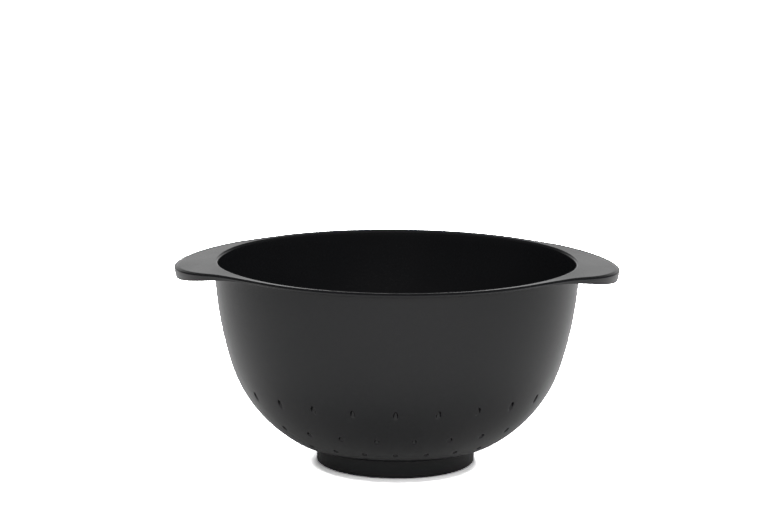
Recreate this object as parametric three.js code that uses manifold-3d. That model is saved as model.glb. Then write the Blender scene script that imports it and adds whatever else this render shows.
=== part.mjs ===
// Footed colander bowl with a flat rim, two lug handles and a rubber non-slip ring in its foot.
// Millimetres, +Z up, +X through the handles. The origin is the centre of the ring's resting face,
// on the surface that the bowl stands on.
import * as THREE from 'three';
import { mergeGeometries, mergeVertices } from 'three/addons/utils/BufferGeometryUtils.js';
import Module from 'manifold-3d';

const wasm = await Module();
wasm.setup();

// ---- driving dimensions ----
const SEGMENTS = 72;
const SOFT = 0.3; // a rounded edge's middle point stands this share of its radius in from both faces

const WALL = 2.5;
const RIM_TOP = 132.6;
const MOUTH_RADIUS = 115;
const MOUTH_EDGE = 1.6;
const MOUTH_DISH = 0.55;

const FLANGE_RADIUS = 121.5;
const HANDLE_ARC = 75;
const HANDLE_ARC_CENTRE = 68.5;
const HANDLE_TIP = HANDLE_ARC_CENTRE + HANDLE_ARC;

const PLATE = 2.5;
const TOP_EDGE = 1.5;
const LIP_WALL = 3.2;
const LIP_FILLET = 0.5;
const LIP_EDGE = 0.8;
const LIP_DRAFT = 0.15;
const LIP_EXTRA = 5.1;
const LIP_START = 85;
const LIP_GROWTH = 2;
const DROOP_SLOPE = 0.121;
const DROOP_START = 110.4;
const DROOP_BLEND = 4;

const FOOT_RADIUS = 51.3;
const FOOT_INNER_RADIUS = 44.4;
const FOOT_BOTTOM = 0.5;
const FOOT_EDGE = 0.8;
const FOOT_FILLET = 1;
const FOOT_LEAN = 0.1;
const BASE_HEIGHT = 12.2;
const BASE_CENTRE = 50.7;
const BASE_ARC = 33;
const SIDE_ARC = 86.4;
const UPPER_ARC = 239;
const BASE_TO_SIDE = THREE.MathUtils.degToRad(29.7);
const SIDE_TO_UPPER = THREE.MathUtils.degToRad(72.6);

const RING_INNER = 46.2;
const RING_OUTER = 48.9;
const RING_HEIGHT = 3.2;
const RING_EDGE = 0.4;
const RING_GAP = 0.3;

const HOLE_RADIUS = 1.5;
const HOLE_SIDES = 6;
const HOLE_BOTTOM = 5;
const HOLE_TOP = 75;
const HOLE_RINGS = [
  { radius: 101.3, count: 24, turn: 0 },
  { radius: 87.8, count: 24, turn: 0.5 },
  { radius: 74.3, count: 24, turn: 0 },
  { radius: 60.8, count: 24, turn: 0.5 },
  { radius: 33.8, count: 12, turn: 0 },
  { radius: 20.3, count: 8, turn: 0.5 },
  { radius: 6.8, count: 4, turn: 0 },
];

// ---- the wall's profile: three arcs, each tangent to the next ----

// A point on an arc of the wall where the wall slopes at `slope` from level, `inset` inside its outer face.
function onArc(arc, slope, inset) {
  const reach = arc.radius - inset;
  return [arc.centre[0] + reach * Math.sin(slope), arc.centre[1] - reach * Math.cos(slope)];
}

// The arc that carries on from `arc` at `slope` with another radius.
function nextArc(arc, slope, radius) {
  return { centre: onArc({ centre: arc.centre, radius: arc.radius - radius }, slope, 0), radius };
}

const baseArc = { centre: [BASE_CENTRE, BASE_HEIGHT + BASE_ARC], radius: BASE_ARC };
const sideArc = nextArc(baseArc, BASE_TO_SIDE, SIDE_ARC);
const upperArc = nextArc(sideArc, SIDE_TO_UPPER, UPPER_ARC);

// The wall's slope where it leaves the foot.
const FOOT_TO_BASE = Math.asin((FOOT_RADIUS - BASE_CENTRE) / BASE_ARC);

// The slope at which the upper arc, `inset` inside the outer face, reaches a height.
function slopeAtHeight(height, inset) {
  return Math.acos((upperArc.centre[1] - height) / (upperArc.radius - inset));
}

// The wall from the foot up to a height, as points [radius, z].
function wallProfile(inset, topHeight) {
  const spans = [
    { arc: baseArc, from: FOOT_TO_BASE, to: BASE_TO_SIDE, steps: 3 },
    { arc: sideArc, from: BASE_TO_SIDE, to: SIDE_TO_UPPER, steps: 5 },
    { arc: upperArc, from: SIDE_TO_UPPER, to: slopeAtHeight(topHeight, inset), steps: 2 },
  ];
  const points = [onArc(baseArc, FOOT_TO_BASE, inset)];
  for (const { arc, from, to, steps } of spans) {
    for (let step = 1; step <= steps; step += 1) {
      points.push(onArc(arc, from + ((to - from) * step) / steps, inset));
    }
  }
  return points;
}

// ---- the rim flange and the two handles, which are one plate ----

// Distance from the axis to the plate's outline: a round flange, a handle arc on each side, and the
// straight tangents that join them, all moved inwards by `inset`.
function outlineRadius(theta, inset) {
  const flange = FLANGE_RADIUS - inset;
  const handle = HANDLE_ARC - inset;
  const turn = Math.atan2(Math.abs(Math.sin(theta)), Math.abs(Math.cos(theta)));
  const tangent = Math.acos((flange - handle) / HANDLE_ARC_CENTRE);
  const handleEnd = Math.atan2(
    handle * Math.sin(tangent),
    HANDLE_ARC_CENTRE + handle * Math.cos(tangent),
  );
  if (turn < handleEnd) {
    const side = HANDLE_ARC_CENTRE * Math.sin(turn);
    return HANDLE_ARC_CENTRE * Math.cos(turn) + Math.sqrt(handle ** 2 - side ** 2);
  }
  return turn < tangent ? flange / Math.cos(turn - tangent) : flange;
}

// How far the plate has bent down at a distance from the middle of the bowl.
function droop(across) {
  return DROOP_SLOPE * DROOP_BLEND * Math.log1p(Math.exp((across - DROOP_START) / DROOP_BLEND));
}

// Height of the plate's edge: the flange's own thickness, and a turned-down lip that grows to the tips.
function edgeDepth(across) {
  const reach = Math.max(0, (across - LIP_START) / (HANDLE_TIP - LIP_START));
  return PLATE + LIP_EXTRA * reach ** LIP_GROWTH;
}

// The plate's cut face in one direction, from the wall's outer face round to its inner face. Its top
// slopes a little into the bowl at the front and the back, and its edge leans in by the lip's draft.
function rimProfile(theta) {
  const along = Math.abs(Math.cos(theta));
  const edge = (inset) => outlineRadius(theta, inset);
  const onPlate = (radius, depth) => [radius, RIM_TOP - depth - droop(radius * along)];
  const tip = edge(0) * along;
  const depth = edgeDepth(tip);
  const draft = LIP_DRAFT * depth;
  const lipBottom = RIM_TOP - droop(tip) - depth;
  const dish = MOUTH_DISH * Math.sin(theta) ** 2;
  return [
    onPlate(edge(LIP_WALL + LIP_FILLET), PLATE),
    [edge(LIP_WALL), lipBottom],
    [edge(draft + LIP_EDGE), lipBottom],
    [edge(draft + SOFT * LIP_EDGE), lipBottom + SOFT * LIP_EDGE],
    [edge(draft), lipBottom + LIP_EDGE],
    onPlate(edge(0), TOP_EDGE),
    onPlate(edge(SOFT * TOP_EDGE), SOFT * TOP_EDGE),
    onPlate(edge(TOP_EDGE), 0),
    onPlate(MOUTH_RADIUS + MOUTH_EDGE, dish),
    onPlate(MOUTH_RADIUS + SOFT * MOUTH_EDGE, dish + SOFT * MOUTH_EDGE),
    onPlate(MOUTH_RADIUS, dish + MOUTH_EDGE),
  ];
}

// ---- the foot, with the groove for the ring ----
function footProfile() {
  const grooveInner = RING_INNER - RING_GAP;
  const grooveOuter = RING_OUTER + RING_GAP;
  const grooveTop = RING_HEIGHT + RING_GAP;
  return [
    [0, BASE_HEIGHT],
    [FOOT_INNER_RADIUS - FOOT_FILLET, BASE_HEIGHT],
    [FOOT_INNER_RADIUS, BASE_HEIGHT - FOOT_FILLET],
    [FOOT_INNER_RADIUS, FOOT_BOTTOM],
    [grooveInner, FOOT_BOTTOM],
    [grooveInner, grooveTop],
    [grooveOuter, grooveTop],
    [grooveOuter, FOOT_BOTTOM],
    [FOOT_RADIUS - FOOT_LEAN - FOOT_EDGE, FOOT_BOTTOM],
    [FOOT_RADIUS - FOOT_LEAN - SOFT * FOOT_EDGE, FOOT_BOTTOM + SOFT * FOOT_EDGE],
    [FOOT_RADIUS - FOOT_LEAN, FOOT_BOTTOM + FOOT_EDGE],
  ];
}

// The wall's profile up to the plate, which bends its highest point down in one direction.
function wallToPlate(theta, inset, topHeight) {
  const points = wallProfile(inset, topHeight);
  const [radius, height] = points.pop();
  return [...points, [radius, height - droop(radius * Math.abs(Math.cos(theta)))]];
}

// The whole moulding's cut face in one direction, from the axis below round to the axis above.
function bodyProfile(theta) {
  const outer = wallToPlate(theta, 0, RIM_TOP - PLATE);
  const inner = wallToPlate(theta, WALL, RIM_TOP - MOUTH_DISH - 2 * MOUTH_EDGE).reverse();
  return [...footProfile(), ...outer, ...rimProfile(theta), ...inner, [0, BASE_HEIGHT + WALL]];
}

// ---- solids ----

function solidOf(geometry) {
  geometry.deleteAttribute('normal');
  geometry.deleteAttribute('uv');
  const merged = mergeVertices(geometry);
  const corners = merged.index.array;
  const triangles = [];
  for (let first = 0; first < corners.length; first += 3) {
    const [a, b, c] = corners.slice(first, first + 3);
    if (a !== b && b !== c && c !== a) triangles.push(a, b, c);
  }
  return new wasm.Manifold(new wasm.Mesh({
    numProp: 3,
    vertProperties: merged.attributes.position.array,
    triVerts: new Uint32Array(triangles),
  }));
}

function geometryOf(solid) {
  const mesh = solid.getMesh();
  const geometry = new THREE.BufferGeometry();
  geometry.setAttribute('position', new THREE.BufferAttribute(mesh.vertProperties, 3));
  geometry.setIndex(new THREE.BufferAttribute(mesh.triVerts, 1));
  geometry.computeVertexNormals();
  return geometry;
}

// A lathe about +Z whose profile may change with direction, as the rim's does at the handles.
function latheAboutZ(profileAt) {
  const first = profileAt(0).map(([radius, z]) => new THREE.Vector2(radius, z));
  const geometry = new THREE.LatheGeometry(first, SEGMENTS);
  const { position } = geometry.attributes;
  for (let segment = 0; segment <= SEGMENTS; segment += 1) {
    const theta = (2 * Math.PI * segment) / SEGMENTS;
    profileAt(theta).forEach(([radius, z], row) => {
      const vertex = segment * first.length + row;
      position.setXYZ(vertex, radius * Math.cos(theta), radius * Math.sin(theta), z);
    });
  }
  return geometry;
}

// The drain holes: upright pins in rings, so that a hole in the sloping wall opens as a tall oval.
function drainPins() {
  const pins = [];
  for (const { radius, count, turn } of HOLE_RINGS) {
    for (let hole = 0; hole < count; hole += 1) {
      const angle = (2 * Math.PI * (hole + turn)) / count - Math.PI / 2;
      const pin = new THREE.CylinderGeometry(HOLE_RADIUS, HOLE_RADIUS, HOLE_TOP - HOLE_BOTTOM, HOLE_SIDES);
      pin.rotateX(Math.PI / 2);
      pin.translate(radius * Math.cos(angle), radius * Math.sin(angle), (HOLE_TOP + HOLE_BOTTOM) / 2);
      pins.push(pin);
    }
  }
  return solidOf(mergeGeometries(pins));
}

// ---- pieces ----

function makeBowlBody() {
  const shell = solidOf(latheAboutZ(bodyProfile));
  const melamine = new THREE.MeshStandardMaterial({ color: 0x17171a, roughness: 0.42, metalness: 0 });
  const mesh = new THREE.Mesh(geometryOf(shell.subtract(drainPins())), melamine);
  mesh.name = 'bowl_body';
  return mesh;
}

function makeNonSlipRing() {
  const profile = [
    [RING_INNER + RING_EDGE, 0],
    [RING_OUTER - RING_EDGE, 0],
    [RING_OUTER, RING_EDGE],
    [RING_OUTER, RING_HEIGHT],
    [RING_INNER, RING_HEIGHT],
    [RING_INNER, RING_EDGE],
    [RING_INNER + RING_EDGE, 0],
  ];
  const rubber = new THREE.MeshStandardMaterial({ color: 0x101012, roughness: 0.85, metalness: 0 });
  const mesh = new THREE.Mesh(geometryOf(solidOf(latheAboutZ(() => profile))), rubber);
  mesh.name = 'non_slip_ring';
  return mesh;
}

const colander = new THREE.Group();
colander.add(makeBowlBody(), makeNonSlipRing());

export default colander;
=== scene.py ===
# %% [markdown]
# # A footed colander bowl in black melamine
# The object is one compression-moulded bowl with a flat rim, two lug handles, a foot and rings of drain
# holes, and one rubber ring that is pressed into the foot so that the bowl doesn't slide. The CAD model
# is loaded first. It fixes every size, and each Blender piece below is built inside it.

# %% Load the frame
import math

import bmesh
import bpy
import numpy as np
from mathutils import Matrix, Vector


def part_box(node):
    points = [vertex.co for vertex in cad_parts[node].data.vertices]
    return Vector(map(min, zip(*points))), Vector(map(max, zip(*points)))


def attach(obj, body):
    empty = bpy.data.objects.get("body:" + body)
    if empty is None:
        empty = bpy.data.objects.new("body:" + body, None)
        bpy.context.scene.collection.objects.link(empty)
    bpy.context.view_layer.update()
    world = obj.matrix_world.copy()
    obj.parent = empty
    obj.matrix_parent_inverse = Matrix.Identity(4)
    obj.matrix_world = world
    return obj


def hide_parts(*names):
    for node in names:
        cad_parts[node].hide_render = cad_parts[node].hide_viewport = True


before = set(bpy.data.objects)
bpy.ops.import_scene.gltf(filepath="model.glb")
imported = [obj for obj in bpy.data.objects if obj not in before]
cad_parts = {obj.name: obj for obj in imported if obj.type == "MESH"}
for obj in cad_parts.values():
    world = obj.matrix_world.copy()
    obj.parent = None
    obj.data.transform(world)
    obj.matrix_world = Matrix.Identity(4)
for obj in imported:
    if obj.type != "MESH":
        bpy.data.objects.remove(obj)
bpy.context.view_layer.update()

body_low, body_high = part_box("bowl_body")
ring_low, ring_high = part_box("non_slip_ring")
print("bowl", body_low[:], body_high[:], "ring", ring_low[:], ring_high[:])

# %% [markdown]
# ## The camera
# A long lens about 1.6 m away, a little above the rim, looking down by about ten degrees. From so far
# off, the back of the rim is drawn only about a seventh smaller than the front. The camera is turned by a
# matrix whose columns are its right, up and backward directions, because a slight roll is easier to state
# that way than as Euler angles.

# %% Place the camera
MM = 0.001
RIM_TOP = body_high.z
CAMERA_TARGET_HEIGHT = RIM_TOP - 0.5 * MM
CAMERA_DISTANCE = 1.6
CAMERA_RISE = math.radians(9.93)
CAMERA_PITCH = math.radians(9.844)
CAMERA_YAW = math.radians(-0.305)
CAMERA_ROLL = math.radians(0.43)
CAMERA_LENS = 116.45


def camera_matrix():
    """The camera's place and its right, up and backward directions."""
    rise = CAMERA_TARGET_HEIGHT + CAMERA_DISTANCE * math.sin(CAMERA_RISE)
    place = Vector((0, -CAMERA_DISTANCE * math.cos(CAMERA_RISE), rise))
    level = math.cos(CAMERA_PITCH)
    forward = Vector((math.sin(CAMERA_YAW) * level, math.cos(CAMERA_YAW) * level, -math.sin(CAMERA_PITCH)))
    right = forward.cross(Vector((0, 0, 1))).normalized()
    upright = Matrix((right, right.cross(forward), -forward)).transposed()
    return Matrix.Translation(place) @ (upright @ Matrix.Rotation(CAMERA_ROLL, 3, "Z")).to_4x4()


camera = bpy.data.objects.new("studio_camera", bpy.data.cameras.new("studio_camera"))
bpy.context.scene.collection.objects.link(camera)
camera.matrix_world = camera_matrix()
camera.data.lens = CAMERA_LENS
camera.data.clip_end = 50
bpy.context.scene.camera = camera
print("camera at", tuple(round(v, 3) for v in camera.matrix_world.translation))

# %% [markdown]
# ## The rules of the bowl's shape
# A moulded bowl is drawn as a profile: a few arcs, each tangent to the next, turned about the axis. The
# wall could be a subdivided cage instead, but arcs keep the curvature smooth where the studio light
# slides over it, and the same arcs moved inwards by the wall's thickness give the inside. Lengths are in
# metres.

# %% Sizes and arcs
DIRECTIONS = 192
WALL = 2.5 * MM
BASE_CENTRE = 50.7 * MM
FLOOR_UNDERSIDE = 12.2 * MM
BASE_RADIUS = 33 * MM
SIDE_RADIUS = 86.4 * MM
UPPER_RADIUS = 239 * MM
BASE_TO_SIDE = math.radians(29.7)
SIDE_TO_UPPER = math.radians(72.6)
MIDDLE_HOLES = 90 * MM


def on_arc(arc, slope, inset=0.0):
    """A point (radius, height) where the wall slopes at `slope` from level, `inset` inside its outer face."""
    centre_radius, centre_height, radius = arc
    reach = radius - inset
    return centre_radius + reach * math.sin(slope), centre_height - reach * math.cos(slope)


def next_arc(arc, slope, radius):
    """The arc of another radius that carries on from `arc` at `slope`, tangent to it."""
    return (*on_arc((arc[0], arc[1], arc[2] - radius), slope), radius)


base_arc = (BASE_CENTRE, FLOOR_UNDERSIDE + BASE_RADIUS, BASE_RADIUS)
side_arc = next_arc(base_arc, BASE_TO_SIDE, SIDE_RADIUS)
upper_arc = next_arc(side_arc, SIDE_TO_UPPER, UPPER_RADIUS)


def wall_height(radius, inset):
    """Height of the wall's face, `inset` inside its outer face, at each distance from the axis."""
    radius = np.asarray(radius, float)
    height = np.full(radius.shape, FLOOR_UNDERSIDE + inset)
    for arc, start in ((base_arc, 0.0), (side_arc, BASE_TO_SIDE), (upper_arc, SIDE_TO_UPPER)):
        reach = arc[2] - inset
        over = radius > arc[0] + reach * math.sin(start)
        height[over] = arc[1] - np.sqrt(np.maximum(reach**2 - (radius[over] - arc[0]) ** 2, 0.0))
    return height


def upper_wall(start_radius, end_height, inset, steps):
    """Points up the wall's last arc, from a distance from the axis to a height."""
    reach = upper_arc[2] - inset
    start = math.asin((start_radius - upper_arc[0]) / reach)
    end = math.acos((upper_arc[1] - end_height) / reach)
    return [on_arc(upper_arc, slope, inset) for slope in np.linspace(start, end, steps + 1)]


upright = float(wall_height(MIDDLE_HOLES, WALL) - wall_height(MIDDLE_HOLES, 0.0))
print("the wall is", round(upright / MM, 2), "mm thick at the middle holes, measured upright")

# %% [markdown]
# ## One tile of the perforated wall
# A drain hole is left by an upright pin in the mould, so it is round from above and a tall oval where the
# wall is steep. A boolean cut would do it, but it leaves long thin faces that catch the light badly.
# Instead each hole gets a tile: loops of points that start as a circle and grow into a piece of the wall
# that fits its neighbours, on the outside, down through the hole with rounded edges, and on the inside.

# %% Make a tile with a hole through it
HOLE_RADIUS = 1.5 * MM
HOLE_EDGE = 0.3 * MM
SIDE_STEPS = 144
GROWTH = (0.0, 0.1, 0.28, 0.58, 1.0)
MIDDLE_OF_EDGE = 0.3
DOWN_THE_HOLE = (0.07, 0.93)


def tile_outline(inner, outer, count):
    """The tile's outline from above, as (angle, radius): out along one side, and back along the other."""
    around = DIRECTIONS // count
    half = math.pi / count
    angles = np.linspace(-half, half, around + 1)
    radii = np.linspace(outer, inner, SIDE_STEPS // count + 1)
    sides = (
        [(a, outer) for a in angles[:-1]],
        [(half, r) for r in radii[:-1]],
        [(a, inner) for a in angles[:0:-1]],
        [(-half, r) for r in radii[:0:-1]],
    )
    return np.array([point for side in sides for point in side])


def tile_loops(ring_radius, inner, outer, count):
    """The tile's loops, from its outline on the outside, through the hole, to its outline on the inside."""
    outline = tile_outline(inner, outer, count)
    border = np.column_stack((outline[:, 1] * np.cos(outline[:, 0]), outline[:, 1] * np.sin(outline[:, 0])))
    centre = np.array([ring_radius, 0.0])
    start = math.atan2(border[0, 1], border[0, 0] - ring_radius)
    turn = start + 2 * np.pi * np.arange(len(border)) / len(border)
    unit = np.column_stack((np.cos(turn), np.sin(turn)))

    def loop(plan, inset, rise):
        return np.column_stack((plan, wall_height(np.hypot(*plan.T), inset) + rise))

    def face(inset):
        opening = centre + unit * (HOLE_RADIUS + HOLE_EDGE)
        return [loop(opening * (1 - t) + border * t, inset, 0.0) for t in GROWTH]

    hole = centre + unit * HOLE_RADIUS
    rounded = centre + unit * (HOLE_RADIUS + MIDDLE_OF_EDGE * HOLE_EDGE)
    below = [loop(rounded, 0.0, MIDDLE_OF_EDGE * HOLE_EDGE), loop(hole, 0.0, HOLE_EDGE)]
    above = [loop(hole, WALL, -HOLE_EDGE), loop(rounded, WALL, -MIDDLE_OF_EDGE * HOLE_EDGE)]
    between = [below[-1] * (1 - t) + above[0] * t for t in DOWN_THE_HOLE]
    return face(0.0)[::-1] + below + between + above + face(WALL)


def mesh_from_loops(name, loops):
    """A mesh of four-sided faces between each closed loop of points and the next."""
    count = len(loops[0])
    faces = []
    for row in range(len(loops) - 1):
        for i in range(count):
            j = (i + 1) % count
            faces.append((row * count + i, row * count + j, (row + 1) * count + j, (row + 1) * count + i))
    mesh = bpy.data.meshes.new(name)
    mesh.from_pydata(np.concatenate(loops).tolist(), [], faces)
    return mesh


print("a hole is", 2 * HOLE_RADIUS / MM, "mm wide, and its edge is rounded by", HOLE_EDGE / MM, "mm")

# %% [markdown]
# ## Helpers for node trees
# Geometry and material trees are wired the same way: a node is added, its settings are chosen, and each
# input is either a value or a link. A Geometry Nodes tree is run on a mesh and its result is kept as a
# plain mesh.

# %% Wire and run node trees


def add_node(tree, kind, inputs=None, **settings):
    """Adds a node, sets its properties, and sets or links its inputs by name or number."""
    node = tree.nodes.new(kind)
    for key, value in settings.items():
        setattr(node, key, value)
    for key, value in (inputs or {}).items():
        if isinstance(value, bpy.types.NodeSocket):
            tree.links.new(value, node.inputs[key])
        else:
            node.inputs[key].default_value = value
    return node


def math_node(tree, operation, *values):
    """A Math node's result."""
    return add_node(tree, "ShaderNodeMath", dict(enumerate(values)), operation=operation).outputs[0]


def geometry_tree(name, inputs):
    """A Geometry Nodes tree with a geometry in and out, and named inputs of the given socket types."""
    tree = bpy.data.node_groups.new(name, "GeometryNodeTree")
    tree.interface.new_socket("Geometry", in_out="INPUT", socket_type="NodeSocketGeometry")
    for label, kind in inputs.items():
        tree.interface.new_socket(label, in_out="INPUT", socket_type=kind)
    tree.interface.new_socket("Geometry", in_out="OUTPUT", socket_type="NodeSocketGeometry")
    return tree, tree.nodes.new("NodeGroupInput").outputs, tree.nodes.new("NodeGroupOutput")


def run_tree(mesh, tree, values):
    """Runs a tree on a mesh, with its named inputs set, and returns the result as a plain mesh."""
    holder = bpy.data.objects.new("maker", mesh)
    bpy.context.scene.collection.objects.link(holder)
    modifier = holder.modifiers.new("maker", "NODES")
    modifier.node_group = tree
    for item in tree.interface.items_tree:
        if item.in_out == "INPUT" and item.name in values:
            modifier[item.identifier] = values[item.name]
    result = bpy.data.meshes.new_from_object(holder.evaluated_get(bpy.context.evaluated_depsgraph_get()))
    holder.modifiers.remove(modifier)
    bpy.data.objects.remove(holder)
    return result


# %% [markdown]
# ## Rings of drain holes with Geometry Nodes
# The holes stand in rings, each a fixed step further out, and every second ring is turned by half a step.
# One tile is instanced on a point for each hole and turned about the bowl's axis by its index. The shared
# edges are then merged, so a ring is one clean band of wall. An array modifier could turn copies too, but
# here the count and the turn are named inputs, so one tree makes all the rings.

# %% The tree that turns one tile into a ring
WELD = 0.001 * MM


def ring_of_tiles_tree():
    """Instances a tile once for each hole, turned about the axis, and welds the copies into a ring."""
    sockets = {"Count": "NodeSocketInt", "Turn": "NodeSocketFloat", "Finish": "NodeSocketMaterial"}
    tree, given, out = geometry_tree("ring_of_drain_holes", sockets)
    points = add_node(tree, "GeometryNodePoints", {"Count": given["Count"]})
    index = add_node(tree, "GeometryNodeInputIndex").outputs[0]
    step = math_node(tree, "DIVIDE", 2 * math.pi, given["Count"])
    angle = math_node(tree, "MULTIPLY", math_node(tree, "ADD", index, given["Turn"]), step)
    from_front = math_node(tree, "SUBTRACT", angle, math.pi / 2)
    turned = add_node(tree, "ShaderNodeCombineXYZ", {"Z": from_front})
    copies = add_node(tree, "GeometryNodeInstanceOnPoints", {
        "Points": points.outputs[0], "Instance": given["Geometry"], "Rotation": turned.outputs[0]})
    real = add_node(tree, "GeometryNodeRealizeInstances", {"Geometry": copies.outputs[0]})
    welded = add_node(tree, "GeometryNodeMergeByDistance", {"Geometry": real.outputs[0], "Distance": WELD})
    done = add_node(tree, "GeometryNodeSetMaterial", {
        "Geometry": welded.outputs[0], "Material": given["Finish"]})
    tree.links.new(done.outputs[0], out.inputs[0])
    return tree


ring_tree = ring_of_tiles_tree()
print(ring_tree.name, "has", len(ring_tree.nodes), "nodes")

# %% [markdown]
# ## Turning a profile with Geometry Nodes
# The foot and the rubber ring are plain turned shapes. The tree makes a grid with a row for each point of
# the profile and a column for each direction, reads the profile's points with Sample Index, and moves the
# grid's points to that radius and height. The Screw modifier does the same job, but the fields show the
# rule.

# %% The tree that turns a profile


def turned_profile_tree():
    """Bends a flat grid into the surface that a profile makes when it turns about the axis."""
    sockets = {"Directions": "NodeSocketInt", "Finish": "NodeSocketMaterial"}
    tree, given, out = geometry_tree("turned_profile", sockets)
    size = add_node(tree, "GeometryNodeAttributeDomainSize", {"Geometry": given["Geometry"]})
    rows = size.outputs["Point Count"]
    last_row = math_node(tree, "SUBTRACT", rows, 1.0)
    columns = math_node(tree, "ADD", given["Directions"], 1.0)
    grid = add_node(tree, "GeometryNodeMeshGrid", {
        "Size X": last_row, "Size Y": given["Directions"], "Vertices X": rows, "Vertices Y": columns})
    position = add_node(tree, "GeometryNodeInputPosition").outputs[0]
    spot = add_node(tree, "ShaderNodeSeparateXYZ", {0: position}).outputs
    row = math_node(tree, "ROUND", math_node(tree, "MULTIPLY_ADD", last_row, 0.5, spot["X"]))
    column = math_node(tree, "MULTIPLY_ADD", given["Directions"], 0.5, spot["Y"])
    read = add_node(tree, "GeometryNodeSampleIndex", {
        "Geometry": given["Geometry"], "Value": position, "Index": row}, data_type="FLOAT_VECTOR")
    point = add_node(tree, "ShaderNodeSeparateXYZ", {0: read.outputs[0]}).outputs
    angle = math_node(tree, "MULTIPLY", column, math_node(tree, "DIVIDE", 2 * math.pi, given["Directions"]))
    across = math_node(tree, "MULTIPLY", point["X"], math_node(tree, "COSINE", angle))
    along = math_node(tree, "MULTIPLY", point["X"], math_node(tree, "SINE", angle))
    place = add_node(tree, "ShaderNodeCombineXYZ", {"X": across, "Y": along, "Z": point["Z"]})
    moved = add_node(tree, "GeometryNodeSetPosition", {
        "Geometry": grid.outputs[0], "Position": place.outputs[0]})
    welded = add_node(tree, "GeometryNodeMergeByDistance", {"Geometry": moved.outputs[0], "Distance": WELD})
    real = add_node(tree, "GeometryNodeRealizeInstances", {"Geometry": welded.outputs[0]})
    done = add_node(tree, "GeometryNodeSetMaterial", {
        "Geometry": real.outputs[0], "Material": given["Finish"]})
    tree.links.new(done.outputs[0], out.inputs[0])
    return tree


profile_tree = turned_profile_tree()
print(profile_tree.name, "has", len(profile_tree.nodes), "nodes")


def turn_profile(points, finish):
    """Turns a profile of (radius, height) points about the bowl's axis."""
    profile = bpy.data.meshes.new("profile")
    profile.from_pydata([(radius, 0.0, height) for radius, height in points], [], [])
    return run_tree(profile, profile_tree, {"Directions": DIRECTIONS, "Finish": finish})


# %% [markdown]
# ## Surface effects
# Moulded melamine and moulded rubber copy the skin of a steel mould: a very fine orange peel, soft
# patches where the polish varies, and the faint marks of use. Each effect is a shader node group. The
# skin and the specks serve both finishes, with values of their own, and the wipe marks are the
# melamine's. Image textures would give the same, but would need an unwrapped surface; noise in Object
# coordinates keeps its real scale over the whole piece. A coordinate of 1 is 1 m.

# %% Shader node groups


def shader_group(name, inputs, outputs):
    """A shader node group with named float or vector sockets."""
    tree = bpy.data.node_groups.new(name, "ShaderNodeTree")
    for label, value in inputs.items():
        kind = "NodeSocketVector" if value is None else "NodeSocketFloat"
        socket = tree.interface.new_socket(label, in_out="INPUT", socket_type=kind)
        if value is not None:
            socket.default_value = value
    for label in outputs:
        tree.interface.new_socket(label, in_out="OUTPUT", socket_type="NodeSocketFloat")
    return tree, tree.nodes.new("NodeGroupInput").outputs, tree.nodes.new("NodeGroupOutput")


def noise(tree, place, scale, detail, roughness=0.5):
    """Noise between 0 and 1 at a scale in features per metre."""
    return add_node(tree, "ShaderNodeTexNoise", {
        "Vector": place, "Scale": scale, "Detail": detail, "Roughness": roughness}).outputs["Fac"]


def mould_skin_group():
    """The skin that a mould leaves: a height for bump, and a patchiness for roughness."""
    inputs = {"Place": None, "Peel per metre": 900.0, "Patches per metre": 28.0}
    tree, given, out = shader_group("mould_skin", inputs, ("Height", "Patches"))
    peel = noise(tree, given["Place"], given["Peel per metre"], 2.0)
    slow = noise(tree, given["Place"], given["Patches per metre"], 3.0)
    tree.links.new(math_node(tree, "MULTIPLY_ADD", slow, 0.6, peel), out.inputs["Height"])
    tree.links.new(math_node(tree, "SUBTRACT", slow, 0.5), out.inputs["Patches"])
    return tree


def wipe_marks_group():
    """Faint marks that run round the bowl, from stacking and wiping."""
    inputs = {"Place": None, "Marks per metre": 700.0, "Length": 30.0}
    tree, given, out = shader_group("wipe_marks", inputs, ("Marks",))
    spot = add_node(tree, "ShaderNodeSeparateXYZ", {0: given["Place"]}).outputs
    angle = math_node(tree, "ARCTAN2", spot["Y"], spot["X"])
    across = math_node(tree, "MULTIPLY", spot["X"], spot["X"])
    radius = math_node(tree, "SQRT", math_node(tree, "MULTIPLY_ADD", spot["Y"], spot["Y"], across))
    stretch = math_node(tree, "DIVIDE", 1.0, given["Length"])
    wide = math_node(tree, "MULTIPLY", angle, stretch)
    flat = add_node(tree, "ShaderNodeCombineXYZ", {"X": wide, "Y": radius, "Z": spot["Z"]})
    fine = noise(tree, flat.outputs[0], given["Marks per metre"], 3.0, 0.7)
    level = add_node(tree, "ShaderNodeMapRange", {
        "Value": fine, "From Min": 0.6, "From Max": 0.85, "To Min": 0.0, "To Max": 1.0})
    tree.links.new(level.outputs[0], out.inputs["Marks"])
    return tree


def specks_group():
    """Sparse specks: pale filler grains in the melamine, lint on the rubber."""
    inputs = {"Place": None, "Grains per metre": 900.0, "Share": 0.02}
    tree, given, out = shader_group("specks", inputs, ("Mask",))
    cells = add_node(tree, "ShaderNodeTexVoronoi", {
        "Vector": given["Place"], "Scale": given["Grains per metre"]})
    near = add_node(tree, "ShaderNodeMapRange", {
        "Value": cells.outputs["Distance"], "From Min": 0.16, "From Max": 0.28, "To Min": 1.0, "To Max": 0.0})
    chance = add_node(tree, "ShaderNodeSeparateColor", {0: cells.outputs["Color"]}).outputs[0]
    chosen = math_node(tree, "LESS_THAN", chance, given["Share"])
    tree.links.new(math_node(tree, "MULTIPLY", near.outputs[0], chosen), out.inputs["Mask"])
    return tree


mould_skin = mould_skin_group()
wipe_marks = wipe_marks_group()
specks = specks_group()
print("effects:", [group.name for group in (mould_skin, wipe_marks, specks)])

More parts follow.
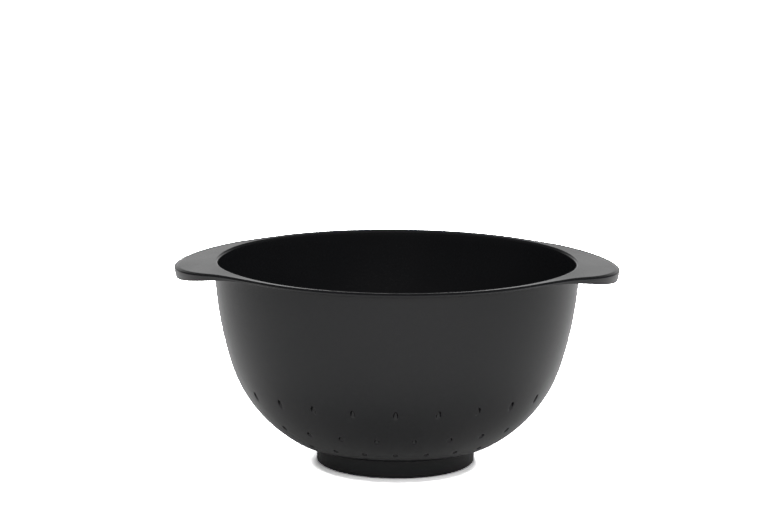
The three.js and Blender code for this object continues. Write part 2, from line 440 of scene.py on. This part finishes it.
# %% [markdown]
# ## The melamine
# Melamine is hard and dense, black right through, with a satin skin. Its base colour is nearly black, so
# almost everything one sees is reflection: faint when the surface faces the eye, strong where it turns
# away. That comes from the index of refraction, not from a lighter colour. Pale filler grains, a slightly
# patchy polish and a very fine orange peel keep the reflections from looking like glass.

# %% Make the melamine


def new_material(name):
    """An empty node material, its tree, and the piece's own coordinates."""
    material = bpy.data.materials.new(name)
    material.use_nodes = True
    material.node_tree.nodes.clear()
    tree = material.node_tree
    place = add_node(tree, "ShaderNodeTexCoord").outputs["Object"]
    return material, tree, place


def use_group(tree, group, inputs):
    """Places a shader node group in a material."""
    return add_node(tree, "ShaderNodeGroup", inputs, node_tree=group).outputs


def finish_material(tree, shader):
    """Links a shader to the material's output."""
    output = add_node(tree, "ShaderNodeOutputMaterial")
    tree.links.new(shader.outputs[0], output.inputs["Surface"])


def mix_colour(tree, share, first, second):
    """A mix of two colours by a mask."""
    return add_node(tree, "ShaderNodeMix", {0: share, 6: first, 7: second}, data_type="RGBA").outputs[2]


MELAMINE_BLACK = (0.0095, 0.0098, 0.0108, 1)
MELAMINE_PATCH = (0.0118, 0.0121, 0.0132, 1)
MELAMINE_GRAIN = (0.06, 0.06, 0.062, 1)
MELAMINE_ROUGHNESS = 0.20
MELAMINE_IOR = 1.5
MELAMINE_PEEL = 0.02 * MM
PATCHY_POLISH = 0.10
MARKS_ROUGHEN = 0.05
GRAINS_SHOW = 0.35


def make_melamine():
    """Satin black, with a patchy polish, faint marks of use and pale grains."""
    material, tree, place = new_material("satin_black_melamine")
    skin = use_group(tree, mould_skin, {"Place": place, "Peel per metre": 1100.0, "Patches per metre": 30.0})
    marks = use_group(tree, wipe_marks, {"Place": place, "Marks per metre": 600.0, "Length": 25.0})
    grain = use_group(tree, specks, {"Place": place, "Grains per metre": 1400.0, "Share": 0.03})
    base = mix_colour(tree, math_node(tree, "ADD", skin["Patches"], 0.5), MELAMINE_BLACK, MELAMINE_PATCH)
    colour = mix_colour(tree, math_node(tree, "MULTIPLY", grain["Mask"], GRAINS_SHOW), base, MELAMINE_GRAIN)
    patchy = math_node(tree, "MULTIPLY_ADD", skin["Patches"], PATCHY_POLISH, MELAMINE_ROUGHNESS)
    roughness = math_node(tree, "MULTIPLY_ADD", marks["Marks"], MARKS_ROUGHEN, patchy)
    bump = add_node(tree, "ShaderNodeBump", {
        "Height": skin["Height"], "Strength": 0.25, "Distance": MELAMINE_PEEL})
    shader = add_node(tree, "ShaderNodeBsdfPrincipled", {
        "Base Color": colour, "Roughness": roughness, "IOR": MELAMINE_IOR, "Normal": bump.outputs[0]})
    finish_material(tree, shader)
    return material


melamine = make_melamine()
print(melamine.name, "has", len(melamine.node_tree.nodes), "nodes")

# %% [markdown]
# ## The rubber
# The ring is soft moulded rubber: a little lighter in its colour than the melamine but with a broad, weak
# sheen, because its skin is rough at a scale below a tenth of a millimetre. Lint sticks to it. A sheen
# layer could add the same veil, but on so small a piece a high roughness is enough.

# %% Make the rubber
RUBBER_BLACK = (0.014, 0.014, 0.014, 1)
RUBBER_BLOOM = (0.030, 0.029, 0.028, 1)
RUBBER_LINT = (0.20, 0.19, 0.18, 1)
RUBBER_ROUGHNESS = 0.72
RUBBER_IOR = 1.5
RUBBER_PEEL = 0.05 * MM
PATCHY_BLOOM = 0.2
LINT_SHOWS = 0.5


def make_rubber():
    """Matt black, with a soft bloom and a little lint."""
    material, tree, place = new_material("matt_black_rubber")
    skin = use_group(tree, mould_skin, {"Place": place, "Peel per metre": 2600.0, "Patches per metre": 90.0})
    lint = use_group(tree, specks, {"Place": place, "Grains per metre": 700.0, "Share": 0.012})
    base = mix_colour(tree, math_node(tree, "ADD", skin["Patches"], 0.5), RUBBER_BLACK, RUBBER_BLOOM)
    colour = mix_colour(tree, math_node(tree, "MULTIPLY", lint["Mask"], LINT_SHOWS), base, RUBBER_LINT)
    roughness = math_node(tree, "MULTIPLY_ADD", skin["Patches"], PATCHY_BLOOM, RUBBER_ROUGHNESS)
    bump = add_node(tree, "ShaderNodeBump", {
        "Height": skin["Height"], "Strength": 0.5, "Distance": RUBBER_PEEL})
    shader = add_node(tree, "ShaderNodeBsdfPrincipled", {
        "Base Color": colour, "Roughness": roughness, "IOR": RUBBER_IOR, "Normal": bump.outputs[0]})
    finish_material(tree, shader)
    return material


rubber = make_rubber()
print(rubber.name, "has", len(rubber.node_tree.nodes), "nodes")

# %% [markdown]
# ## The perforated lower wall
# The rings of tiles cover the floor, and the wall up to just above the highest holes. They leave out the
# band where the foot stands, which has no holes. Tiles that narrowed to a point on the axis would pinch
# there, so they stop at a small disc.

# %% Make the rings of holes
RING_STEP = 13.5 * MM
OUTER_RING = 101.3 * MM
HALF_STEP = RING_STEP / 2
WALL_RINGS = 4
HOLES_PER_WALL_RING = 24
FLOOR_RINGS = ((5, 12), (6, 8), (7, 4))
TURNED_RINGS = (1, 3, 6)
PERFORATED_RADIUS = OUTER_RING + HALF_STEP
CENTRE_DISC = 1.5 * MM


def ring_radius(number):
    """Distance from the axis to a ring of holes, counted from the outermost."""
    return OUTER_RING - number * RING_STEP


def perforated_bands():
    """Each ring of holes as a mesh, from the outermost in. Some are turned by half a step."""
    rings = [(number, HOLES_PER_WALL_RING) for number in range(WALL_RINGS)] + list(FLOOR_RINGS)
    for number, count in rings:
        radius = ring_radius(number)
        inner = max(radius - HALF_STEP, CENTRE_DISC)
        tile = mesh_from_loops("tile", tile_loops(radius, inner, radius + HALF_STEP, count))
        turn = 0.5 if number in TURNED_RINGS else 0.0
        yield run_tree(tile, ring_tree, {"Count": count, "Turn": turn, "Finish": melamine})


bands = list(perforated_bands())
print("perforated bands:", [len(band.polygons) for band in bands], "faces")

# %% [markdown]
# ## The foot
# The foot is a ring under the floor with a groove for the rubber. Its outer face draws in a little
# towards the bottom, so that it leaves the mould, and its edges are rounded. It has no holes, so no tiles
# are needed: its section is written down point by point and turned. Two points held close to the ends of
# its outer face keep that face's shading flat.

# %% Turn the foot and the unpierced strip of floor
FOOT_BAND_OUTER = ring_radius(WALL_RINGS - 1) - HALF_STEP
FOOT_BAND_INNER = ring_radius(FLOOR_RINGS[0][0]) + HALF_STEP
FOOT_BOTTOM = body_low.z
FOOT_RADIUS = 51.3 * MM
FOOT_INNER_RADIUS = 44.4 * MM
RING_INNER_RADIUS = 46.2 * MM
RING_GAP = 0.3 * MM


def corner(centre, radius, start, end, steps=4):
    """Points round a corner, as (radius, height), from one direction to another in degrees."""
    across, up = radius if isinstance(radius, tuple) else (radius, radius)
    turns = np.radians(np.linspace(start, end, steps + 1))
    return [(centre[0] + across * math.cos(t), centre[1] + up * math.sin(t)) for t in turns]


def held(start, end, margin=0.12 * MM):
    """Two points close to the ends of a straight stretch, which keep its shading flat."""
    share = min(0.3, margin / math.dist(start, end))
    return [tuple(a + (b - a) * t for a, b in zip(start, end)) for t in (share, 1 - share)]


def foot_profile():
    """From the underside of the floor inside the foot, round the foot, to the wall outside it."""
    edge = 0.8 * MM
    inner_fillet = 1.0 * MM
    outer_fillet = 0.5 * MM
    lean = 0.1 * MM
    soft = 0.2 * MM
    groove_inner = RING_INNER_RADIUS - RING_GAP
    groove_outer = ring_high.x + RING_GAP
    groove_top = ring_high.z + RING_GAP
    inside = [
        (FOOT_BAND_INNER, FLOOR_UNDERSIDE),
        *corner((FOOT_INNER_RADIUS - inner_fillet, FLOOR_UNDERSIDE - inner_fillet), inner_fillet, 90, 0),
        *corner((FOOT_INNER_RADIUS + soft, FOOT_BOTTOM + soft), soft, 180, 270),
        *corner((groove_inner - soft, FOOT_BOTTOM + soft), soft, 270, 360),
        (groove_inner, groove_top),
        (groove_outer, groove_top),
        *corner((groove_outer + soft, FOOT_BOTTOM + soft), soft, 180, 270),
    ]
    joint = float(wall_height([FOOT_RADIUS + outer_fillet], 0.0)[0])
    below = corner((FOOT_RADIUS - lean - edge, FOOT_BOTTOM + edge), edge, 270, 360, 6)
    above = corner((FOOT_RADIUS + outer_fillet, joint - outer_fillet), outer_fillet, 180, 90)
    spread = np.linspace(above[-1][0], FOOT_BAND_OUTER, 4)[1:]
    wall = [(radius, float(wall_height([radius], 0.0)[0])) for radius in spread]
    return inside + below + held(below[-1], above[0]) + above + wall


def floor_strip_profile():
    """The upper face of the floor over the foot."""
    spread = np.linspace(FOOT_BAND_INNER, FOOT_BAND_OUTER, 7)
    return [(radius, float(wall_height([radius], WALL)[0])) for radius in spread]


def disc_profile(height):
    """The small disc on the axis at one face of the floor."""
    return [(CENTRE_DISC, height), (0.0, height)]


plain_profiles = (
    foot_profile(),
    floor_strip_profile(),
    disc_profile(FLOOR_UNDERSIDE),
    disc_profile(FLOOR_UNDERSIDE + WALL),
)
foot_bands = [turn_profile(profile, melamine) for profile in plain_profiles]
print("foot:", [len(band.polygons) for band in foot_bands], "faces")

# %% [markdown]
# ## The rim and the handles
# The wall ends in a flat plate. In front and behind it is a narrow flange; at the sides it grows into two
# handles that bend down a little and end in a turned-down lip, so that fingers get a hold. Its outline is
# a circle and two smaller arcs, joined by their common tangents. Each direction round the bowl gets one
# section of the plate, built from the same number of points, and the sections are then joined. A
# solidified and bevelled sheet would be quicker, but couldn't make the lip grow along the edge.

# %% Rules of the plate
FLANGE_RADIUS = body_high.y
HANDLE_TIP = body_high.x
HANDLE_ARC = 75 * MM
HANDLE_ARC_CENTRE = HANDLE_TIP - HANDLE_ARC
PLATE = 2.5 * MM
LIP_WALL = 3.2 * MM
LIP_EXTRA = 5.1 * MM
LIP_START = 85 * MM
LIP_GROWTH = 2
LIP_DRAFT = 0.15
MOUTH_DISH = 0.5 * MM
DROOP_SLOPE = 0.121
DROOP_START = 110.4 * MM
DROOP_BLEND = 4 * MM


def outline_radius(theta, inset):
    """Distance from the axis to the plate's outline, moved inwards by `inset`."""
    flange, handle = FLANGE_RADIUS - inset, HANDLE_ARC - inset
    turn = math.atan2(abs(math.sin(theta)), abs(math.cos(theta)))
    tangent = math.acos((flange - handle) / HANDLE_ARC_CENTRE)
    handle_end = math.atan2(handle * math.sin(tangent), HANDLE_ARC_CENTRE + handle * math.cos(tangent))
    if turn < handle_end:
        side = HANDLE_ARC_CENTRE * math.sin(turn)
        return HANDLE_ARC_CENTRE * math.cos(turn) + math.sqrt(handle**2 - side**2)
    return flange / math.cos(turn - tangent) if turn < tangent else flange


def droop(across):
    """How far the plate has bent down at a distance from the middle of the bowl."""
    return DROOP_SLOPE * DROOP_BLEND * math.log1p(math.exp((across - DROOP_START) / DROOP_BLEND))


def edge_depth(across):
    """Height of the plate's edge: the plate itself, and the lip that grows towards the tips."""
    reach = max(0.0, (across - LIP_START) / (HANDLE_TIP - LIP_START))
    return PLATE + LIP_EXTRA * reach**LIP_GROWTH


for name, theta in (("at the handles", 0.0), ("in front", math.pi / 2)):
    print("the plate reaches", round(outline_radius(theta, 0) / MM, 1), "mm", name)

# %% [markdown]
# ## The plate in sections
# A section is the outline that a saw cut through the rim would show: up the outside of the wall, out
# along the underside, round the lip, back over the top and down into the mouth. Every direction has the
# same number of points, so a point of one section can be joined to the same point of the next.

# %% One section of the plate, and all of them
TOP_EDGE = 1.25 * MM
MOUTH_RADIUS = 115 * MM
MOUTH_EDGE = 1.6 * MM
WALL_TOP_RADIUS = 117.4 * MM
UNDER_FILLET = 0.3 * MM
LIP_FILLET = 0.4 * MM
LIP_FILLET_SHARE = 0.45
LIP_LEAN = 0.05 * MM
LIP_EDGE = 0.8 * MM
WALL_STEPS = 10
UNDERSIDE_STEPS = 7
TOP_STEPS = 10


def lip_points(theta, root_height, edge_top, depth):
    """The turned-down lip: its root below the plate, its inner face, its lower edge and its outer face."""
    edge, bottom = outline_radius(theta, 0), edge_top - depth
    root, inner = outline_radius(theta, LIP_WALL + LIP_FILLET), outline_radius(theta, LIP_WALL)
    bend = min(LIP_FILLET, LIP_FILLET_SHARE * (root_height - bottom))
    fillet = corner((root, root_height - bend), (inner - root, bend), 90, 0)[1:]
    start, end = outline_radius(theta, LIP_WALL - LIP_LEAN), outline_radius(theta, LIP_WALL - LIP_FILLET)
    inside = corner((end, bottom + bend), (end - start, bend), 180, 270)
    draft = LIP_DRAFT * depth
    centre = outline_radius(theta, draft + LIP_EDGE)
    across = outline_radius(theta, draft) - centre
    outside = corner((centre, bottom + LIP_EDGE), (across, LIP_EDGE), 270, 360, 5)
    side = held(outside[-1], (edge, edge_top - TOP_EDGE))
    return fillet + inside + outside + side


def rim_section(theta):
    """Points (radius, height) from the outside of the wall, round the plate, to the inside of the wall."""
    along = abs(math.cos(theta))
    edge = outline_radius(theta, 0)
    crest = outline_radius(theta, TOP_EDGE)
    mouth = MOUTH_RADIUS + MOUTH_EDGE
    dish = MOUTH_DISH * math.sin(theta) ** 2

    def plain(radius):
        return RIM_TOP - droop(radius * along)

    def face(radius):
        return radius, plain(radius) - dish * (crest - radius) / (crest - mouth)

    outside = upper_wall(PERFORATED_RADIUS, plain(WALL_TOP_RADIUS) - PLATE - UNDER_FILLET, 0.0, WALL_STEPS)
    wall_radius, wall_top = outside[-1]
    fillet = corner((wall_radius + UNDER_FILLET, wall_top), UNDER_FILLET, 180, 90)[1:]
    root = outline_radius(theta, LIP_WALL + LIP_FILLET)
    spread = np.linspace(fillet[-1][0], root, UNDERSIDE_STEPS + 1)[1:]
    plate = [(radius, plain(radius) - PLATE) for radius in spread]
    lip = lip_points(theta, plate[-1][1], plain(edge), edge_depth(edge * along))
    rounding = corner((crest, plain(edge) - TOP_EDGE), (edge - crest, TOP_EDGE), 0, 90, 7)
    inside = upper_wall(PERFORATED_RADIUS, face(mouth)[1] - MOUTH_EDGE, WALL, WALL_STEPS)[::-1]
    mouth_edge = corner((mouth, inside[0][1]), (mouth - inside[0][0], MOUTH_EDGE), 90, 180, 6)[:-1]
    margin = 0.15 * MM
    spread = np.linspace(crest, mouth, TOP_STEPS + 1)[1:-1]
    top = [face(radius) for radius in (crest - margin, *spread, mouth + margin)]
    return outside + fillet + plate + lip + rounding + top + mouth_edge + inside


def rim_mesh():
    """Joins the sections, so that each row of the mesh runs round the bowl."""
    thetas = 2 * np.pi * np.arange(DIRECTIONS) / DIRECTIONS
    sections = np.array([rim_section(theta) for theta in thetas])
    across = sections[:, :, 0] * np.cos(thetas)[:, None]
    along = sections[:, :, 0] * np.sin(thetas)[:, None]
    points = np.stack((across, along, sections[:, :, 1]), axis=-1)
    mesh = mesh_from_loops("rim", list(points.swapaxes(0, 1)))
    mesh.materials.append(melamine)
    return mesh


rim = rim_mesh()
print("rim:", len(rim.polygons), "faces")

# %% [markdown]
# ## One bowl from its bands
# The bowl comes out of its mould as one piece, so its bands become one mesh. Left as separate objects,
# they would shade as if they had seams. The bands share their border points, so merging doubles closes
# the body into one skin. Only then are its normals recalculated: on a closed body Blender can tell inside
# from outside.

# %% Join the bands and lay the bowl in the frame
CUBIC_CM = 1e-6


def joined(name, meshes, finish):
    """One closed, smooth piece from meshes that share their border points."""
    work = bmesh.new()
    for mesh in meshes:
        work.from_mesh(mesh)
    bmesh.ops.remove_doubles(work, verts=work.verts, dist=WELD)
    bmesh.ops.recalc_face_normals(work, faces=work.faces)
    open_edges = sum(not edge.is_manifold for edge in work.edges)
    for face in work.faces:
        face.smooth = True
        face.material_index = 0
    mesh = bpy.data.meshes.new(name)
    work.to_mesh(mesh)
    mesh.materials.clear()
    mesh.materials.append(finish)
    volume = round(work.calc_volume() / CUBIC_CM, 1)
    print(name, len(mesh.polygons), "faces,", open_edges, "open edges,", volume, "cm3")
    work.free()
    piece = bpy.data.objects.new(name, mesh)
    bpy.context.scene.collection.objects.link(piece)
    return piece


bowl = joined("moulded_bowl", [*bands, *foot_bands, rim], melamine)
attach(bowl, "root")
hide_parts("bowl_body")

# %% [markdown]
# ## The non-slip ring
# A ring of rubber with softened corners, pushed up into its groove, so that only its last half millimetre
# shows below the foot. Two fine grooves run round its resting face and let it grip a wet worktop. It
# could be a torus, but a turned profile gives it the flat face that it stands on.

# %% Turn the rubber ring


def ring_profile():
    """A closed section: up the outside, over the top, down the inside and across the resting face."""
    inner, outer, top = RING_INNER_RADIUS, ring_high.x, ring_high.z
    soft = 0.4 * MM
    groove = 0.25 * MM
    face = []
    for share in (0.36, 0.64):
        middle = inner + (outer - inner) * share
        face += [(middle - groove, 0.0), (middle - 0.4 * groove, groove), (middle + 0.4 * groove, groove)]
        face += [(middle + groove, 0.0)]
    outside = corner((outer - soft, soft), soft, 270, 360) + corner((outer - soft, top - soft), soft, 0, 90)
    inside = corner((inner + soft, top - soft), soft, 90, 180) + corner((inner + soft, soft), soft, 180, 270)
    return outside + inside + face + [outside[0]]


ring = joined("rubber_ring", [turn_profile(ring_profile(), rubber)], rubber)
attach(ring, "root")
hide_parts("non_slip_ring")

# %% [markdown]
# ## The studio
# Black satin shows its surroundings more than its own colour, so the studio is mostly about what it
# reflects: a white sweep behind, a pale floor, and a dark room beside, above and in front. The dark room
# draws the thin dark line along the handles' rounded edge. To the camera the floor and the sweep are
# plain white, like paper in very strong light. The small shadow against the foot is partly cast by the
# lights and partly painted shadow: the floor's own colour is turned down near the foot.

# %% Floor
FLOOR_SIZE = 14.0
FLOOR_GREY = 0.72
# Painted shadow: near the foot the floor's colour to the camera is far lower than the overexposed rest.
FLOOR_PAINTED_SHADOW_BY_THE_FOOT = 3.3
FLOOR_OVEREXPOSED = 12.0
SHADOW_FORWARD = 8 * MM
SHADOW_FADES = (50 * MM, 58 * MM)


def ramp(tree, value, start, end, first, last):
    """A smooth step from one value to another."""
    return add_node(tree, "ShaderNodeMapRange", {
        "Value": value, "From Min": start, "From Max": end, "To Min": first, "To Max": last,
    }, interpolation_type="SMOOTHSTEP").outputs[0]


def make_floor():
    """A sheet of paper: overexposed to the camera, with a painted shadow by the foot, and plain to other
    rays.
    """
    mesh = bpy.data.meshes.new("studio_floor")
    half = FLOOR_SIZE / 2
    square = [(-half, -half, 0), (half, -half, 0), (half, half, 0), (-half, half, 0)]
    mesh.from_pydata(square, [], [(0, 1, 2, 3)])
    floor = bpy.data.objects.new("studio_floor", mesh)
    bpy.context.scene.collection.objects.link(floor)
    material, tree, place = new_material("pale_paper")
    middle = add_node(tree, "ShaderNodeVectorMath", {0: place, 1: (0, SHADOW_FORWARD, 0)}, operation="ADD")
    away = add_node(tree, "ShaderNodeVectorMath", {0: middle.outputs[0]}, operation="LENGTH")
    # Painted shadow: the floor's colour to the camera rises from dim against the foot to overexposed further
    # out, measured from a point a little towards the camera, so the painted shadow reaches further in front.
    floor_with_painted_shadow = ramp(tree, away.outputs["Value"], *SHADOW_FADES, FLOOR_PAINTED_SHADOW_BY_THE_FOOT, FLOOR_OVEREXPOSED)
    seen = add_node(tree, "ShaderNodeLightPath").outputs["Is Camera Ray"]
    colour = add_node(tree, "ShaderNodeMix", {0: seen, 2: FLOOR_GREY, 3: floor_with_painted_shadow}, data_type="FLOAT")
    finish_material(tree, add_node(tree, "ShaderNodeBsdfDiffuse", {"Color": colour.outputs[0]}))
    mesh.materials.append(material)


make_floor()
print("floor:", FLOOR_SIZE, "m square")

# %% [markdown]
# ## The light
# The world is the backdrop. Light Path lets it be three things at once: what reflections see, an even
# fill, and plain white to the camera. Area lights do the rest. They light the floor, which the bowl's
# lower wall mirrors, and they are hidden from reflections, because a sharp square in satin black would
# look like a lamp.

# %% World and light
SWEEP_BRIGHTNESS = 0.93
FRONT_BRIGHTNESS = 0.08
OVERHEAD_BRIGHTNESS = 0.05
FILL_BRIGHTNESS = 0.5
WHITE_TO_THE_CAMERA = 1.2
SWEEP_SIDES = (0.6, 0.97)
SWEEP_TOP = (0.08, 0.42)
SOFT_LIGHTS = {
    "overhead": ((-0.1, 0.3, 1.6), 1.4, 13.0),
    "front_fill": ((0.3, -1.4, 0.9), 1.2, 9.0),
    "back_right": ((0.9, 0.8, 0.7), 0.7, 2.5),
}


def make_world():
    """A white sweep low behind the object, and a dark room everywhere else."""
    world = bpy.data.worlds.new("studio")
    world.use_nodes = True
    tree = world.node_tree
    tree.nodes.clear()
    toward = add_node(tree, "ShaderNodeTexCoord").outputs["Generated"]
    spot = add_node(tree, "ShaderNodeSeparateXYZ", {0: toward}).outputs
    behind = ramp(tree, spot["Y"], *SWEEP_SIDES, FRONT_BRIGHTNESS, SWEEP_BRIGHTNESS)
    overhead = ramp(tree, spot["Z"], *SWEEP_TOP, 0.0, 1.0)
    studio = add_node(tree, "ShaderNodeMix", {
        0: overhead, 2: behind, 3: OVERHEAD_BRIGHTNESS}, data_type="FLOAT")
    path = add_node(tree, "ShaderNodeLightPath").outputs
    level = add_node(tree, "ShaderNodeMix", {
        0: path["Is Glossy Ray"], 2: FILL_BRIGHTNESS, 3: studio.outputs[0]}, data_type="FLOAT").outputs[0]
    seen = add_node(tree, "ShaderNodeMix", {
        0: path["Is Camera Ray"], 2: level, 3: WHITE_TO_THE_CAMERA}, data_type="FLOAT")
    background = add_node(tree, "ShaderNodeBackground", {"Strength": seen.outputs[0]})
    output = add_node(tree, "ShaderNodeOutputWorld")
    tree.links.new(background.outputs[0], output.inputs["Surface"])
    bpy.context.scene.world = world


def soft_light(name, place, size, power):
    """A square soft light that lights the floor, but leaves no shape in the reflections."""
    data = bpy.data.lights.new(name, "AREA")
    data.size = size
    data.energy = power
    light = bpy.data.objects.new(name, data)
    bpy.context.scene.collection.objects.link(light)
    light.location = place
    light.rotation_mode = "QUATERNION"
    light.rotation_quaternion = (-Vector(place)).to_track_quat("-Z", "Y")
    light.visible_glossy = False


make_world()
for name, (place, size, power) in SOFT_LIGHTS.items():
    soft_light(name, place, size, power)
bpy.context.scene.view_settings.view_transform = "Standard"
print("lights:", ", ".join(SOFT_LIGHTS))
